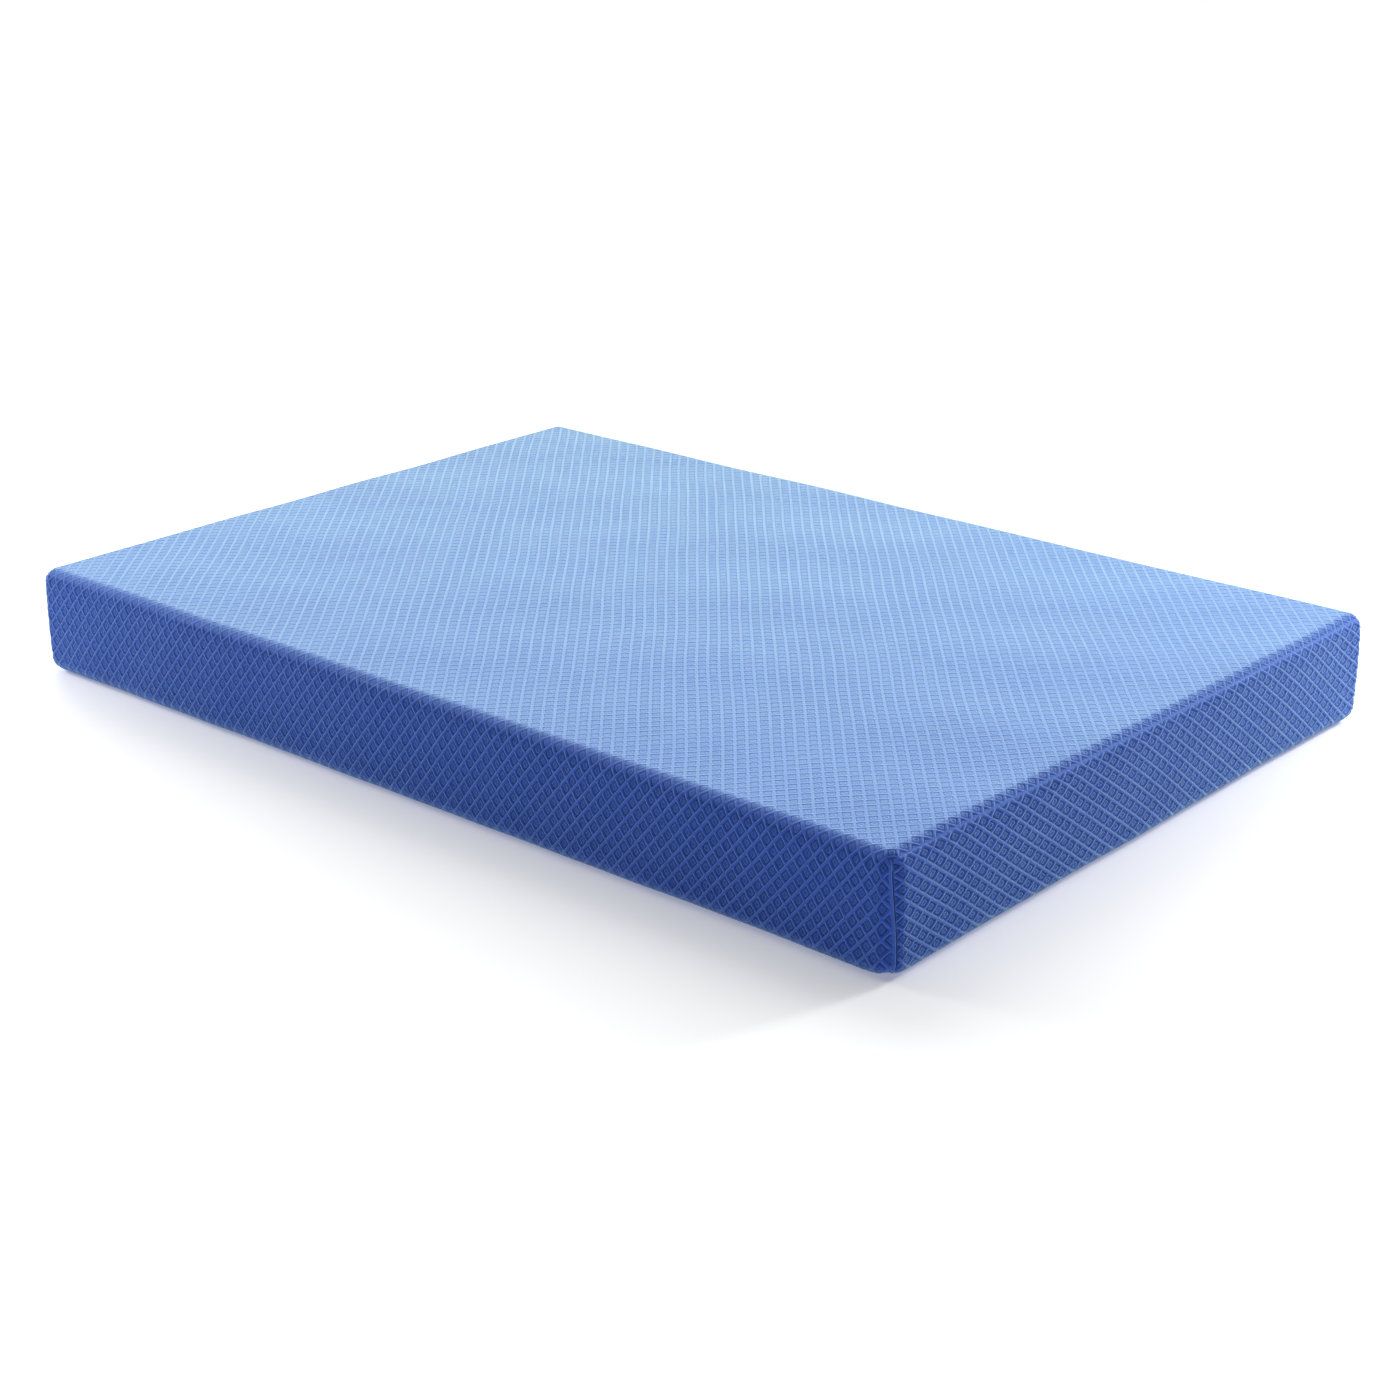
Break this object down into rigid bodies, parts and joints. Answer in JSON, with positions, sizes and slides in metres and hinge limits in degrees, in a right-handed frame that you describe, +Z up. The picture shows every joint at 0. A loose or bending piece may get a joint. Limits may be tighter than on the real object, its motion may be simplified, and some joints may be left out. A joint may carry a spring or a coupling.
{
  "type": "memory foam mattress",
  "caption": "Low foam mattress for a double bed in a blue quilted knit cover, closed by a zip along the head end, with a fire barrier sock and layered foam core inside.",
  "frame": {"origin": "middle of the underside, on the surface that the mattress lies on", "axes": "+Z up out of the sleeping surface, +Y along the mattress towards the head end where the zip is, +X across it to the right of a sleeper lying face up"},
  "size_m": [1.34, 1.9091, 0.183],
  "materials": {
    "cover_knit": "matte",
    "underside_cloth": "matte",
    "seam_tape": "matte",
    "zip_tape": "matte",
    "zip_coil": "satin",
    "zip_metal": "satin",
    "label_cloth": "matte",
    "barrier_knit": "matte",
    "barrier_thread": "matte",
    "memory_foam": "matte",
    "glue": "matte",
    "support_foam": "matte"
  },
  "bodies": {
    "mattress": {"cover_top_and_sides": "cover_knit", "cover_bottom_panel": "underside_cloth", "bottom_seam_binding": "seam_tape", "corner_seam_foot_left": "seam_tape", "corner_seam_foot_right": "seam_tape", "corner_seam_head_right": "seam_tape", "corner_seam_head_left": "seam_tape", "zip_tape_upper": "zip_tape", "zip_tape_lower": "zip_tape", "zip_coil_upper": "zip_coil", "zip_coil_lower": "zip_coil", "zip_stop_left": "zip_metal", "zip_stop_right": "zip_metal", "fire_barrier_sock": "barrier_knit", "fire_barrier_head_seam": "barrier_thread", "fire_barrier_foot_seam": "barrier_thread", "comfort_foam_layer": "memory_foam", "foam_glue_film": "glue", "support_foam_core": "support_foam"},
    "zip_slider": {"zip_slider": "zip_metal"},
    "zip_pull": {"zip_pull_tab": "zip_metal"},
    "law_label": {"law_label": "label_cloth"},
    "care_label": {"care_label": "label_cloth"}
  },
  "joints": [
    {"name": "zip_slider_travel", "type": "slide", "parent": "mattress", "child": "zip_slider", "axis": [1, 0, 0], "range_m": [0, 1.131]},
    {"name": "pull_tab_flip", "type": "hinge", "parent": "zip_slider", "child": "zip_pull", "pos_m": [-0.5655, 0.9546, 0.04], "axis": [0, 0, -1], "range_deg": [0, 180]},
    {"name": "law_label_lift", "type": "hinge", "parent": "mattress", "child": "law_label", "pos_m": [-0.33, 0.9528, 0.148], "axis": [1, 0, 0], "range_deg": [0, 120]},
    {"name": "care_label_lift", "type": "hinge", "parent": "mattress", "child": "care_label", "pos_m": [-0.235, 0.9528, 0.148], "axis": [1, 0, 0], "range_deg": [0, 120]}
  ]
}
